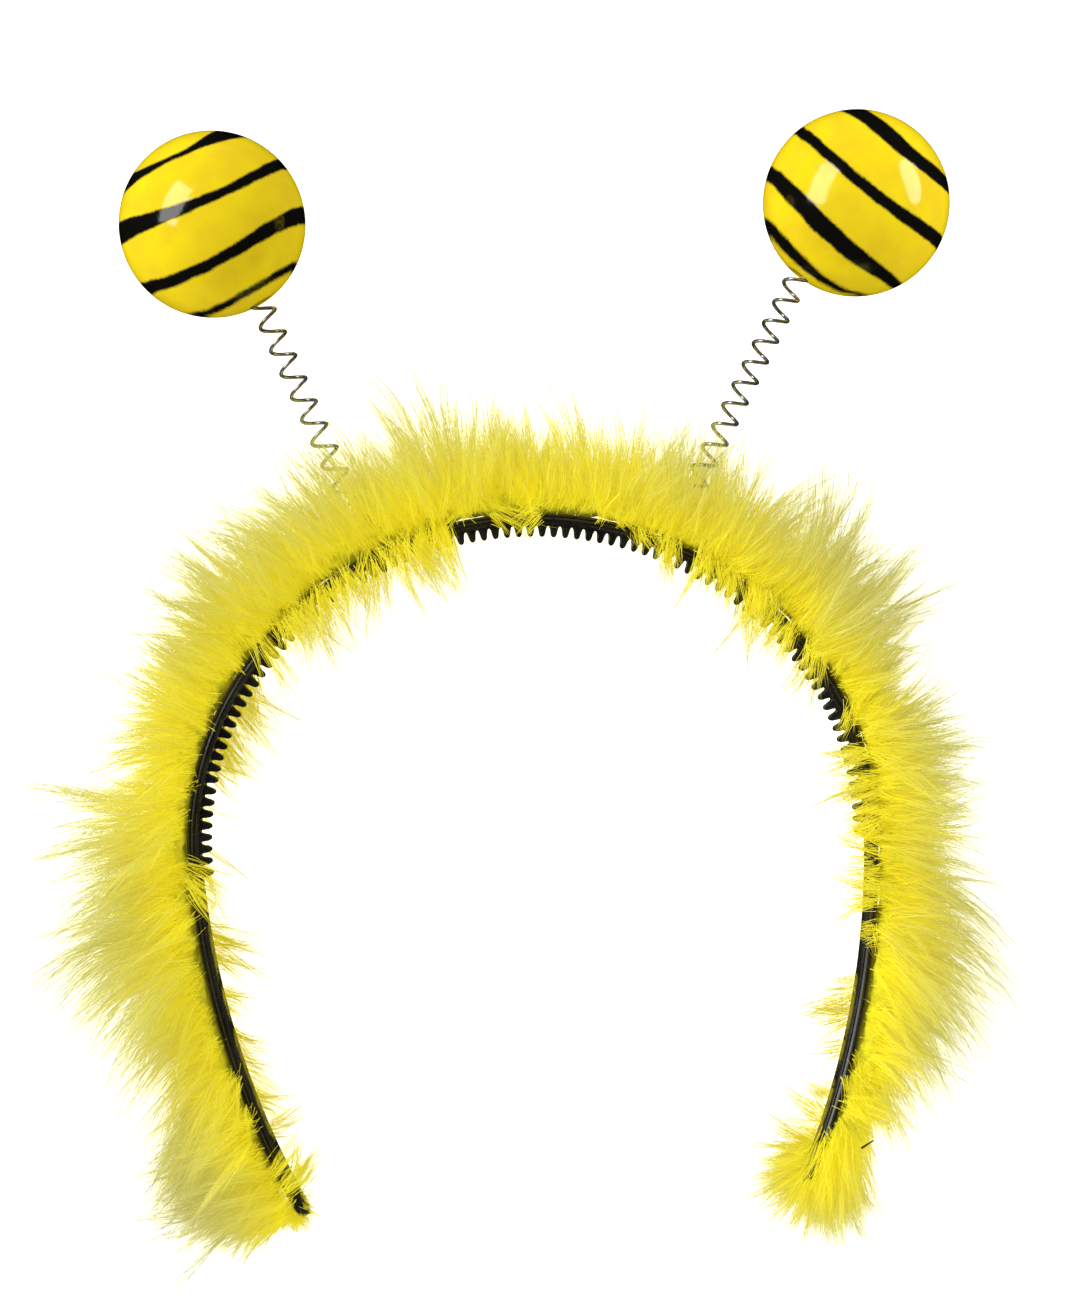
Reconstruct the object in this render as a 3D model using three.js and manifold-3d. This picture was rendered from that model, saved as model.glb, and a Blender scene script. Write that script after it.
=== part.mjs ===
// Bee antenna headband: a toothed plastic band, a feather trim along its outer face, and two
// balls that sway on coil springs. Everything is in millimetres. It lies on its back, as on a
// table: X runs from ear to ear, Y from the arms' tips to the antennas, Z to the wearer's front.
import * as THREE from "three";
import { mergeVertices } from "three/addons/utils/BufferGeometryUtils.js";
import Module from "manifold-3d";

const wasm = await Module();
wasm.setup();

// Arch of the band: three tangent arcs on each side of the crown, measured on the inner face
const CROWN_RADIUS = 65;
const CROWN_SPAN = THREE.MathUtils.degToRad(55);
const SHOULDER_RADIUS = 55;
const SHOULDER_SPAN = THREE.MathUtils.degToRad(36.5);
const ARM_RADIUS = 160;
const HALF_LENGTH = 164;
const ARCH_STEPS = 46;

// Section of the band: a flat strip whose front and back edges carry a groove between two rims
const BAND_WIDTH = 8;
const BAND_THICKNESS = 2.2;
const EDGE_CHAMFER = 0.4;
const GROOVE_WIDTH = 0.8;
const GROOVE_DEPTH = 0.4;

// Rounded ends of the arms: discs that lie inside the strip's faces by an inset, with their
// centres short of the strip's end by a setback
const END_INSET = 0.2;
const END_SETBACK = 0.7;
const END_SIDES = 18;

// Comb teeth on the inner face
const TOOTHED_HALF_LENGTH = 99.5;
const TOOTH_PITCH = 2.27;
const TOOTH_LENGTH = 2.2;
const TOOTH_ROOT = 1.6;
const TOOTH_TIP = 0.8;
const TOOTH_WIDTH = 3.2;
const TOOTH_SEATING = 0.55;

// Coil springs and the pegs that hold them
const WIRE_DIAMETER = 0.7;
const COIL_DIAMETER = 4.8;
const WIRE_SIDES = 5;
const STEPS_PER_TURN = 8;
const PEG_LENGTH = 6;
const PEG_SIDES = 8;
const SOCKET_DEPTH = 5.5;
const SOCKET_SIDES = 12;

const BALL_DIAMETER = 35.4;
const BALL_SEGMENTS = 22;
const BALL_RINGS = 12;

// Gap between pieces that touch
const CLEARANCE = 0.3;

const WELD_DISTANCE = 1e-4;
const CURVE_DIVISIONS = 1500;

// Antennas. station is a share of the crown's arc on that side, length one of ANTENNA_LENGTH,
// which runs from the band's outer face to the ball, and pitch one of COIL_PITCH. lean from +Y
// and entry, the turn of the wire from the outer side where it enters the ball, are in degrees.
// offset is how far the ball's centre lies outside the spring's axis, as a share of its radius
const ANTENNA_LENGTH = 54;
const COIL_PITCH = 4.6;
const ANTENNAS = [
  {
    name: "left", side: -1, station: 0.428, lean: 20.4,
    length: 0.961, pitch: 1.043, entry: -33, offset: 0.13,
  },
  {
    name: "right", side: 1, station: 0.471, lean: 30,
    length: 1.035, pitch: 0.948, entry: -13, offset: 0.209,
  },
];

// Feather trim: a core along the outer face, and the plumes that spring from it
const CORE_DEPTH = 10;
const CORE_WIDTH = 24;
const CORE_SETBACK = 1.5;
const CORE_STEPS = 40;
const CORE_SHOULDER = 0.75;
const CORE_FLANK = 0.2;
const PLUME_REACH = 30;
const PLUME_BREADTH = 16;
const PLUME_THICKNESS = 12;
const PLUME_ROOT = 0.4;
const PLUME_SIDES = 4;

// Outline of a plume from root to tip: shares of its half breadth and of its length
const PLUME_OUTLINE = [[0, 0], [1, 0.15], [0.8, 0.65], [0, 1]];

// Rises of the plumes in a row from the outward direction towards +Z, in degrees
const FAN_OF_EVEN_ROWS = [-74, 3, 76];
const FAN_OF_ODD_ROWS = [-38, 37];

// Plume rows from the left tip over the crown to the right tip. at is a share of the half
// length, reach a share of PLUME_REACH, sweep the lean towards the nearer tip in degrees
const PLUME_ROWS = [
  { at: -1, reach: 0.5, sweep: 20 },
  { at: -0.95, reach: 0.72, sweep: 36 },
  { at: -0.88, reach: 0.95, sweep: 36 },
  { at: -0.8, reach: 0.7, sweep: 32 },
  { at: -0.74, reach: 0.78, sweep: 30 },
  { at: -0.68, reach: 0.92, sweep: 18 },
  { at: -0.61, reach: 1, sweep: 14 },
  { at: -0.55, reach: 0.92, sweep: 20 },
  { at: -0.49, reach: 0.96, sweep: 18 },
  { at: -0.43, reach: 0.78, sweep: 12 },
  { at: -0.37, reach: 0.74, sweep: 10 },
  { at: -0.31, reach: 0.82, sweep: 10 },
  { at: -0.26, reach: 0.88, sweep: 15 },
  { at: -0.21, reach: 0.88, sweep: 14 },
  { at: -0.13, reach: 0.88, sweep: 8 },
  { at: -0.08, reach: 0.9, sweep: 4 },
  { at: -0.02, reach: 0.86, sweep: 4 },
  { at: 0.03, reach: 0.8, sweep: -6 },
  { at: 0.08, reach: 0.74, sweep: -6 },
  { at: 0.13, reach: 0.7, sweep: -8 },
  { at: 0.21, reach: 0.72, sweep: -6 },
  { at: 0.26, reach: 0.8, sweep: -2 },
  { at: 0.31, reach: 0.92, sweep: -2 },
  { at: 0.37, reach: 0.9, sweep: -4 },
  { at: 0.43, reach: 0.74, sweep: -8 },
  { at: 0.49, reach: 0.8, sweep: -2 },
  { at: 0.55, reach: 0.74, sweep: -2 },
  { at: 0.61, reach: 0.78, sweep: 6 },
  { at: 0.67, reach: 0.88, sweep: 10 },
  { at: 0.73, reach: 0.94, sweep: 9 },
  { at: 0.79, reach: 0.84, sweep: 16 },
  { at: 0.84, reach: 0.62, sweep: 24 },
  { at: 0.89, reach: 0.45, sweep: 22 },
  { at: 0.95, reach: 0.5, sweep: 26 },
  { at: 1, reach: 0.52, sweep: 30 },
];

const blackPlastic = new THREE.MeshStandardMaterial({ color: 0x141414, roughness: 0.35, metalness: 0 });
const yellowFeather = new THREE.MeshStandardMaterial({ color: 0xe6d91c, roughness: 0.9, metalness: 0 });
const springSteel = new THREE.MeshStandardMaterial({ color: 0xb9b9b4, roughness: 0.25, metalness: 1 });
const yellowPaint = new THREE.MeshStandardMaterial({ color: 0xf0dc14, roughness: 0.15, metalness: 0 });

// Point on the inner face at arc length s from the crown, with the outward direction and the
// direction along the band to the nearer tip
function archAt(s) {
  const side = s < 0 ? -1 : 1;
  const arcs = [
    { radius: CROWN_RADIUS, span: CROWN_SPAN },
    { radius: SHOULDER_RADIUS, span: SHOULDER_SPAN },
    { radius: ARM_RADIUS, span: Infinity },
  ];
  let left = Math.abs(s);
  let turn = 0;
  let x = 0;
  let y = 0;
  for (const { radius, span } of arcs) {
    const step = Math.min(left / radius, span);
    x += radius * (Math.sin(turn + step) - Math.sin(turn));
    y += radius * (Math.cos(turn + step) - Math.cos(turn));
    turn += step;
    left -= step * radius;
  }
  return {
    point: new THREE.Vector3(side * x, y, 0),
    outward: new THREE.Vector3(side * Math.sin(turn), Math.cos(turn), 0),
    tipward: new THREE.Vector3(side * Math.cos(turn), -Math.sin(turn), 0),
  };
}

// Run along the inner face, as far as a reach on both sides of the crown
class ArchRun extends THREE.Curve {
  constructor(reach) {
    super();
    this.arcLengthDivisions = CURVE_DIVISIONS;
    this.reach = reach;
  }

  getPoint(t) {
    return archAt(THREE.MathUtils.lerp(-this.reach, this.reach, t)).point;
  }
}

// Closed geometry as a solid that can be joined and cut
function solidOf(geometry) {
  const bare = geometry.clone();
  bare.deleteAttribute("normal");
  bare.deleteAttribute("uv");
  const merged = mergeVertices(bare, WELD_DISTANCE);
  const triVerts = [];
  for (let i = 0; i < merged.index.count; i += 3) {
    const [a, b, c] = [merged.index.getX(i), merged.index.getX(i + 1), merged.index.getX(i + 2)];
    if (a !== b && b !== c && c !== a) {
      triVerts.push(a, b, c);
    }
  }
  return new wasm.Manifold(new wasm.Mesh({
    numProp: 3,
    vertProperties: new Float32Array(merged.attributes.position.array),
    triVerts: new Uint32Array(triVerts),
  }));
}

function joined(solids) {
  return solids.reduce((whole, solid) => whole.add(solid));
}

// Solid as a named mesh
function meshOf(name, solid, material) {
  const { vertProperties, triVerts } = solid.getMesh();
  const geometry = new THREE.BufferGeometry();
  geometry.setAttribute("position", new THREE.BufferAttribute(new Float32Array(vertProperties), 3));
  geometry.setIndex(new THREE.BufferAttribute(new Uint32Array(triVerts), 1));
  geometry.computeVertexNormals();
  const mesh = new THREE.Mesh(geometry, material);
  mesh.name = name;
  return mesh;
}

// Section swept along the arch. Its points are [height off the inner face, z]
function sweptAlongArch(section, reach, steps) {
  const shape = new THREE.Shape(section.map(([height, z]) => new THREE.Vector2(z, height)));
  return solidOf(new THREE.ExtrudeGeometry(shape, {
    steps,
    extrudePath: new ArchRun(reach),
    bevelEnabled: false,
  }));
}

// Frame at a place on the arch: local X to the nearer tip, Y at a rise from the outward
// direction towards +Z, and the origin at a height off the inner face
function frameAt(s, height, rise = 0) {
  const { point, outward, tipward } = archAt(s);
  const up = outward.clone().multiplyScalar(Math.cos(rise)).setZ(Math.sin(rise));
  const across = new THREE.Vector3().crossVectors(tipward, up);
  const origin = point.clone().addScaledVector(outward, height);
  return new THREE.Matrix4().makeBasis(tipward, up, across).setPosition(origin);
}

// Axis of an antenna: its foot on the band's outer face, its direction and its length
function antennaAxis(antenna) {
  const station = antenna.side * antenna.station * CROWN_RADIUS * CROWN_SPAN;
  const { point, outward } = archAt(station);
  const lean = THREE.MathUtils.degToRad(antenna.lean);
  const direction = new THREE.Vector3(antenna.side * Math.sin(lean), Math.cos(lean), 0);
  const outside = new THREE.Vector3(antenna.side * Math.cos(lean), -Math.sin(lean), 0);
  const foot = point.clone().addScaledVector(outward, BAND_THICKNESS);
  return { foot, direction, outside, length: antenna.length * ANTENNA_LENGTH };
}

// Round bar of a given radius between two distances along an antenna's axis
function barOnAxis({ foot, direction }, radius, from, to, sides) {
  const bar = new THREE.CylinderGeometry(radius, radius, to - from, sides);
  const turn = new THREE.Quaternion().setFromUnitVectors(new THREE.Vector3(0, 1, 0), direction);
  bar.applyQuaternion(turn);
  const middle = foot.clone().addScaledVector(direction, (from + to) / 2);
  return solidOf(bar.translate(middle.x, middle.y, middle.z));
}

// Band
function bandSection() {
  const half = BAND_WIDTH / 2;
  const middle = BAND_THICKNESS / 2;
  const front = [
    [0, half - EDGE_CHAMFER],
    [EDGE_CHAMFER, half],
    [middle - GROOVE_WIDTH / 2, half],
    [middle, half - GROOVE_DEPTH],
    [middle + GROOVE_WIDTH / 2, half],
    [BAND_THICKNESS - EDGE_CHAMFER / 2, half],
    [BAND_THICKNESS, half - EDGE_CHAMFER],
  ];
  const back = front.map(([height, z]) => [height, -z]).reverse();
  return [...front, ...back];
}

// Round end of an arm, a little inside the band's faces
function armEnd(side) {
  const radius = BAND_WIDTH / 2 - END_INSET;
  const thickness = BAND_THICKNESS - 2 * END_INSET;
  const disc = new THREE.CylinderGeometry(radius, radius, thickness, END_SIDES);
  const station = side * (HALF_LENGTH - END_SETBACK);
  return solidOf(disc.applyMatrix4(frameAt(station, BAND_THICKNESS / 2)));
}

function tooth(s) {
  const root = TOOTH_ROOT / 2;
  const tip = TOOTH_TIP / 2;
  const shoulder = TOOTH_LENGTH - tip;
  const outline = new THREE.Shape([
    new THREE.Vector2(-root, TOOTH_SEATING),
    new THREE.Vector2(-tip, -shoulder),
    new THREE.Vector2(0, -TOOTH_LENGTH),
    new THREE.Vector2(tip, -shoulder),
    new THREE.Vector2(root, TOOTH_SEATING),
  ]);
  const plate = new THREE.ExtrudeGeometry(outline, { depth: TOOTH_WIDTH, bevelEnabled: false });
  plate.translate(0, 0, -TOOTH_WIDTH / 2);
  return solidOf(plate.applyMatrix4(frameAt(s, 0)));
}

// Peg that stands on the band inside the spring's lowest coils
function springPeg(antenna) {
  const radius = COIL_DIAMETER / 2 - WIRE_DIAMETER - CLEARANCE;
  return barOnAxis(antennaAxis(antenna), radius, -BAND_THICKNESS / 2, PEG_LENGTH, PEG_SIDES);
}

function headband() {
  const teeth = [];
  const count = Math.floor((2 * TOOTHED_HALF_LENGTH) / TOOTH_PITCH);
  for (let i = 0; i <= count; i += 1) {
    teeth.push(tooth((i - count / 2) * TOOTH_PITCH));
  }
  const strip = sweptAlongArch(bandSection(), HALF_LENGTH, ARCH_STEPS);
  const solid = joined([strip, armEnd(-1), armEnd(1), ...teeth, ...ANTENNAS.map(springPeg)]);
  return meshOf("headband", solid, blackPlastic);
}

// Wire of a spring: a closed turn that rests on the band, then open coils up into the ball
class SpringWire extends THREE.Curve {
  constructor(antenna) {
    super();
    this.arcLengthDivisions = CURVE_DIVISIONS;
    this.antenna = antenna;
    this.axis = antennaAxis(antenna);
    this.pitch = antenna.pitch * COIL_PITCH;
    this.start = WIRE_DIAMETER / 2 + 2 * CLEARANCE;
    this.closedPitch = WIRE_DIAMETER + CLEARANCE;
    const openLength = this.axis.length + SOCKET_DEPTH - this.start - this.closedPitch;
    this.turns = 1 + openLength / this.pitch;
  }

  getPoint(t) {
    const { side, entry } = this.antenna;
    const { foot, direction, outside } = this.axis;
    const turn = this.turns * t;
    const closed = this.closedPitch * Math.min(turn, 1);
    const height = this.start + closed + this.pitch * Math.max(turn - 1, 0);
    const turnsToEntry = turn - this.turns + SOCKET_DEPTH / this.pitch;
    const angle = THREE.MathUtils.degToRad(entry) + 2 * Math.PI * turnsToEntry;
    const radius = (COIL_DIAMETER - WIRE_DIAMETER) / 2;
    return foot.clone()
      .addScaledVector(direction, height)
      .addScaledVector(outside, radius * Math.cos(angle))
      .setZ(-side * radius * Math.sin(angle));
  }
}

function spring(antenna) {
  const wire = new SpringWire(antenna);
  const section = new THREE.Shape(
    new THREE.EllipseCurve(0, 0, WIRE_DIAMETER / 2, WIRE_DIAMETER / 2).getPoints(WIRE_SIDES).slice(1),
  );
  const tube = new THREE.ExtrudeGeometry(section, {
    steps: Math.ceil(wire.turns * STEPS_PER_TURN),
    extrudePath: wire,
    bevelEnabled: false,
  });
  return meshOf(`${antenna.name}_spring`, solidOf(tube), springSteel);
}

// Ball with the socket that the spring's last turn stands in
function ball(antenna) {
  const axis = antennaAxis(antenna);
  const radius = BALL_DIAMETER / 2;
  const offset = antenna.offset * radius;
  const inset = Math.sqrt(radius * radius - offset * offset);
  const centre = axis.foot.clone()
    .addScaledVector(axis.direction, axis.length + inset)
    .addScaledVector(axis.outside, offset);
  const sphere = new THREE.SphereGeometry(radius, BALL_SEGMENTS, BALL_RINGS).rotateX(Math.PI / 2);
  const whole = solidOf(sphere.translate(centre.x, centre.y, centre.z));
  const socketRadius = COIL_DIAMETER / 2 + CLEARANCE;
  const socketEnd = axis.length + SOCKET_DEPTH + WIRE_DIAMETER / 2 + CLEARANCE;
  const socketStart = axis.length - radius / 2;
  const socket = barOnAxis(axis, socketRadius, socketStart, socketEnd, SOCKET_SIDES);
  return meshOf(`${antenna.name}_ball`, whole.subtract(socket), yellowPaint);
}

// Core of the trim: a half-round cord of down along the band, seated by the band's room
function trimCore() {
  const half = CORE_WIDTH / 2;
  const seat = BAND_THICKNESS + CLEARANCE;
  const shoulder = seat + CORE_DEPTH * CORE_SHOULDER;
  const flank = seat + CORE_DEPTH * CORE_FLANK;
  const section = [
    [BAND_THICKNESS / 2, half * CORE_SHOULDER],
    [flank, half],
    [shoulder, half * CORE_SHOULDER],
    [seat + CORE_DEPTH, 0],
    [shoulder, -half * CORE_SHOULDER],
    [flank, -half],
    [BAND_THICKNESS / 2, -half * CORE_SHOULDER],
  ];
  return sweptAlongArch(section, HALF_LENGTH - CORE_SETBACK, CORE_STEPS);
}

// Plume: a pointed tongue of down that leaves the core at a rise and bends towards the tip
function plume({ at, reach, sweep }, riseDegrees) {
  const root = BAND_THICKNESS + CLEARANCE + CORE_DEPTH * PLUME_ROOT;
  const length = reach * PLUME_REACH - root;
  const profile = PLUME_OUTLINE.map(([breadth, share]) => new THREE.Vector2(breadth, share));
  const tongue = new THREE.LatheGeometry(profile, PLUME_SIDES, Math.PI / (2 * PLUME_SIDES));
  tongue.scale(PLUME_BREADTH / 2, length, PLUME_THICKNESS / 2);
  const lean = length * Math.tan(THREE.MathUtils.degToRad(sweep));
  const place = tongue.attributes.position;
  for (let i = 0; i < place.count; i += 1) {
    const share = place.getY(i) / length;
    place.setX(i, place.getX(i) + lean * share * share);
  }
  const rise = THREE.MathUtils.degToRad(riseDegrees);
  return solidOf(tongue.applyMatrix4(frameAt(at * HALF_LENGTH, root, rise)));
}

// Room for a spring through the trim
function springRoom(antenna) {
  const radius = COIL_DIAMETER / 2 + 2 * CLEARANCE;
  return barOnAxis(antennaAxis(antenna), radius, -BAND_THICKNESS, 2 * PLUME_REACH, SOCKET_SIDES);
}

// Room for the band and its teeth inside the trim
function bandRoom() {
  const half = BAND_WIDTH / 2 + CLEARANCE;
  const inside = -TOOTH_LENGTH - CLEARANCE;
  const outside = BAND_THICKNESS + CLEARANCE;
  const section = [[inside, half], [outside, half], [outside, -half], [inside, -half]];
  const run = sweptAlongArch(section, HALF_LENGTH + CLEARANCE, ARCH_STEPS);
  const endRadius = half - END_INSET;
  const endDepth = outside - inside - END_INSET;
  const ends = [-1, 1].map((side) => {
    const disc = new THREE.CylinderGeometry(endRadius, endRadius, endDepth, END_SIDES);
    const station = side * (HALF_LENGTH - END_SETBACK);
    return solidOf(disc.applyMatrix4(frameAt(station, (outside + inside) / 2)));
  });
  return joined([run, ...ends]);
}

// Everything below the surface that the balls and the trim rest on
function belowFloor() {
  const size = 4 * HALF_LENGTH;
  const block = new THREE.BoxGeometry(size, size, size);
  return solidOf(block.translate(0, 0, -size / 2 - BALL_DIAMETER / 2));
}

function featherTrim() {
  const plumes = PLUME_ROWS.flatMap((row, i) => {
    const fan = i % 2 === 0 ? FAN_OF_EVEN_ROWS : FAN_OF_ODD_ROWS;
    return fan.map((rise) => plume(row, rise));
  });
  const cuts = joined([belowFloor(), bandRoom(), ...ANTENNAS.map(springRoom)]);
  const solid = joined([trimCore(), ...plumes]).subtract(cuts);
  return meshOf("feather_trim", solid, yellowFeather);
}

// The headband stands on its lowest plane, with the middle of its plan at the origin
const beeHeadband = new THREE.Group();
beeHeadband.add(headband(), featherTrim());
for (const antenna of ANTENNAS) {
  beeHeadband.add(spring(antenna), ball(antenna));
}
const extent = new THREE.Box3().setFromObject(beeHeadband);
const middle = extent.getCenter(new THREE.Vector3());
beeHeadband.position.set(-middle.x, -middle.y, -extent.min.z);
beeHeadband.updateMatrixWorld(true);

export default beeHeadband;
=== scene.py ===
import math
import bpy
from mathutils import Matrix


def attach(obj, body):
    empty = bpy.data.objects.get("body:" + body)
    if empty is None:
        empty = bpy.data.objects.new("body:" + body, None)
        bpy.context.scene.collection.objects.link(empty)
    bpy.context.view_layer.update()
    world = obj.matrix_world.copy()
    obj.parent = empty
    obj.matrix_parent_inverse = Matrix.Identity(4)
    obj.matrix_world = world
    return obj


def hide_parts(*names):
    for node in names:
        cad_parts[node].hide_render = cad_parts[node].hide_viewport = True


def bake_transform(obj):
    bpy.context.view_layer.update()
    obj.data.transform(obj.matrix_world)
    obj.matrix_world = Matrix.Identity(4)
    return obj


bl_info = {
    "name": "Bee Antenna Headband",
    "version": (1, 0, 0),
    "blender": (4, 5, 0),
    "location": "View3D > Sidebar > Headband",
    "description": "Dresses the packed frame of a bee antenna headband",
    "category": "Object",
}

import bmesh
import bpy
import numpy as np
from bpy.props import FloatProperty, FloatVectorProperty, IntProperty, PointerProperty
from mathutils import Matrix, Vector, noise

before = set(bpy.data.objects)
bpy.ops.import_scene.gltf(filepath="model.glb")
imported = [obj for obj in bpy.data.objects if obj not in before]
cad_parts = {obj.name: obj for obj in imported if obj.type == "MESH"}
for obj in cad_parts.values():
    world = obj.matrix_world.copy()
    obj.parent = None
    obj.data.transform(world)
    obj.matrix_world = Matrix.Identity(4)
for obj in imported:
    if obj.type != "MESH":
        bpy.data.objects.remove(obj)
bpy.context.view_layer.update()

# Shapes are worked out in millimetres and made in metres
MM = 0.001
UP = np.array((0.0, 0.0, 1.0))

# Band, as the part's source gives it: three tangent arcs on each side of the crown
ARCH_ORIGIN = np.array((2.2728, 29.6374, 17.7))
ARCS = ((65.0, math.radians(55)), (55.0, math.radians(36.5)), (160.0, math.pi))
CROWN_ARC = ARCS[0][0] * ARCS[0][1]
SHOULDER_ARC = ARCS[1][0] * ARCS[1][1]
HALF_LENGTH = 164.0
BAND_WIDTH = 8.0
BAND_THICKNESS = 2.2
NOSE_SETBACK = 0.9

# Half section of the band from the inner face over the front edge: height and z
BAND_SECTION = (
    (0, 0), (0, 3.5), (0.14, 3.84), (0.4, 4.0), (0.58, 3.96), (0.68, 3.78), (1.1, 4.0),
    (1.52, 3.78), (1.62, 3.96), (1.8, 4.0), (2.06, 3.84), (2.2, 3.5), (2.2, 0),
)

# Half outline of a comb tooth: along the band and height
TOOTH_OUTLINE = (
    (1.14, 0.45), (1.1, 0.05), (0.86, -0.35), (0.71, -0.9), (0.63, -1.4), (0.52, -1.82),
    (0.3, -2.1), (0, -2.2),
)
TOOTH_COUNT = 88
TOOTH_PITCH = 2.27
TOOTH_WIDTH = 3.2

# Antennas: place of the foot along the band, lean, way to the ball, pitch of the spring, angle
# at which its wire enters the ball, and offset of the ball from the axis in ball radii
ANTENNAS = {
    "left": {
        "side": -1,
        "station": 0.428 * CROWN_ARC,
        "lean": math.radians(20.4),
        "length": 51.894,
        "pitch": 4.798,
        "entry": math.radians(-33),
        "offset": 0.13,
    },
    "right": {
        "side": 1,
        "station": 0.471 * CROWN_ARC,
        "lean": math.radians(30),
        "length": 55.89,
        "pitch": 4.361,
        "entry": math.radians(-13),
        "offset": 0.209,
    },
}
PEG_LENGTH = 6.0
PEG_TAPER = 0.92
SOCKET_DEPTH = 5.5
SOCKET_END = 6.15
CLEARANCE = 0.3
STEPS_IN_TURN = 30

# Painted stripes, in ball radii: height across the stripes with the slope, bend and twist of
# the middle line, then half width with its taper and flare
STRIPE_SHAPE = ("Height", "Slope", "Bend", "Twist", "Half Width", "Taper", "Flare")
STRIPES = {
    "left": {
        "turn": math.radians(19.8),
        "rows": (
            (0.715, 0.059, 0.178, 0.02, 0.03, 0.039, 0.231),
            (0.131, -0.026, 0.154, 0.026, 0.055, -0.027, 0.054),
            (-0.481, 0.1, 0.161, -0.087, 0.06, 0.01, 0.019),
            (-0.884, 0.096, 0.224, -0.173, 0.029, 0.004, -0.004),
        ),
    },
    "right": {
        "turn": math.radians(-43.7),
        "rows": (
            (0.658, -0.029, 0.162, 0.129, 0.088, -0.015, 0.015),
            (0.051, 0.017, 0.149, 0.011, 0.064, 0.009, 0.01),
            (-0.537, -0.05, 0.172, 0.037, 0.093, -0.012, -0.044),
            (-0.912, -0.048, 0.324, 0.201, 0.044, -0.02, -0.05),
        ),
    },
}

# Reach of the down from the band's inner face in mm, at even places from the left tip to the
# right one, and its sweep towards the nearer tip in degrees
TRIM_REACH = (
    11, 23, 22, 12, 13, 25, 33, 33, 17.5, 24.5, 28, 29, 6, 19, 20, 16.5, 23, 20.5, 20.5, 21.5,
    21.5, 22, 21.5, 25, 24, 19, 17.5, 16, 19, 19.5, 20, 22, 15.5, 29, 29, 19.5, 10, 17, 21, 18,
    17, 18.5, 13.5, 18.5, 25.5, 33, 18, 18, 15, 5, 8,
)
TRIM_SWEEP = (
    -28, -14, 8, 38, 46, 44, 43, 37, 31, 24, 18, 18, 17, 16, 14, 12, 8, 9, 12, 14, 14, 10, 7, 4,
    3, 0, -4, -5, -6, -7, -8, -4, -2, -2, -3, -5, -6, -2, 1, 2, 10, 17, 24, 29, 35, 38, 45, 48,
    52, 58, 60,
)

# How soon the down pales into the painted shade of its tips away from the band, by place along it
# as a share of the half length
TRIM_FADE = (
    (-1, 1.15), (-0.85, 1.0), (-0.7, 0.85), (-0.45, 0.85), (-0.3, 0.95), (-0.15, 0.78),
    (0, 0.74), (0.15, 0.82), (0.3, 1.05), (0.5, 1.15), (0.7, 0.95), (1, 1.1),
)

# Way from the band in mm over which the down pales into the painted shade of its tips where that
# pace is 1
PALE_WAY = 27.0

# Length of the plumes over the reach of the trim, which their thin tips don't fill
TRIM_FILL = 1.68

# Tufts that reach over the band: place along it in mm, z off its middle, reach inwards in mm,
# lean towards +x in degrees and thickness of the tuft as a share
TUFTS = (
    (-160, 7, 7, 20, 0.7), (-163, -6, 8, 40, 0.8), (-150, -7, 6, -30, 0.5),
    (-141, -6, 8, -35, 0.6), (-134, -7, 10, -30, 0.7), (-128, -6, 9, -40, 0.6),
    (-121, -7, 7, -25, 0.6), (-114, -6, 10, -30, 0.7), (-108, -7, 8, -45, 0.5),
    (-98, 7, 8, -50, 0.6), (-92, -6, 11, -55, 0.4), (-86, -7, 7, -35, 0.5),
    (-78, -7, 9, -30, 0.9), (-71, -6, 11, -25, 1.0), (-64, -7, 12, -20, 1.0),
    (-57, -6, 10, -30, 0.8), (-50, 6, 9, -18, 0.8), (-45, 7, 10, -8, 1.2),
    (-39, 6, 11, -20, 1.3), (-34, 7, 9, 0, 1.1), (-28, -6, 8, -15, 0.8), (-25, 7, 10, -8, 1.2),
    (-20, 7, 11, 6, 1.4), (-16, 6, 8, -10, 1.2), (-13, 7, 9, 12, 1.0), (-3, 7, 4, 60, 0.2),
    (6, 7, 5, -55, 0.2), (16, 7, 4, 58, 0.2), (24, 7, 5, 40, 0.4), (30, 6, 6, 30, 0.8),
    (36, 7, 7, 25, 1.1), (42, 6, 8, 35, 1.1), (47, -6, 9, 25, 0.7), (50, 7, 6, 35, 1.0),
    (56, 6, 7, 25, 1.0), (61, 7, 5, 40, 0.7), (66, -7, 8, 15, 0.6), (73, 7, 4, 45, 0.4),
    (86, 7, 7, -10, 1.0), (91, 6, 8, 10, 1.0), (96, 7, 6, 25, 0.9), (103, 6, 6, -15, 0.9),
    (110, 7, 5, 0, 0.9), (118, 7, 3, 10, 0.5), (127, -6, 8, 25, 0.6), (133, -7, 9, 10, 0.7),
    (141, -6, 6, 30, 0.5), (151, -7, 5, 15, 0.5), (157, -6, 10, -10, 1.0), (160, -6, 6, 10, 0.6),
    (163, -6, 11, 25, 1.3), (163.5, -5, 10, 45, 1.0),
)

# Corners of the room that the strands stay in, in mm
TRIM_ROOM = (np.array((-104.0, -122.0, -60.0)), np.array((104.0, 90.0, 50.5)))

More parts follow.
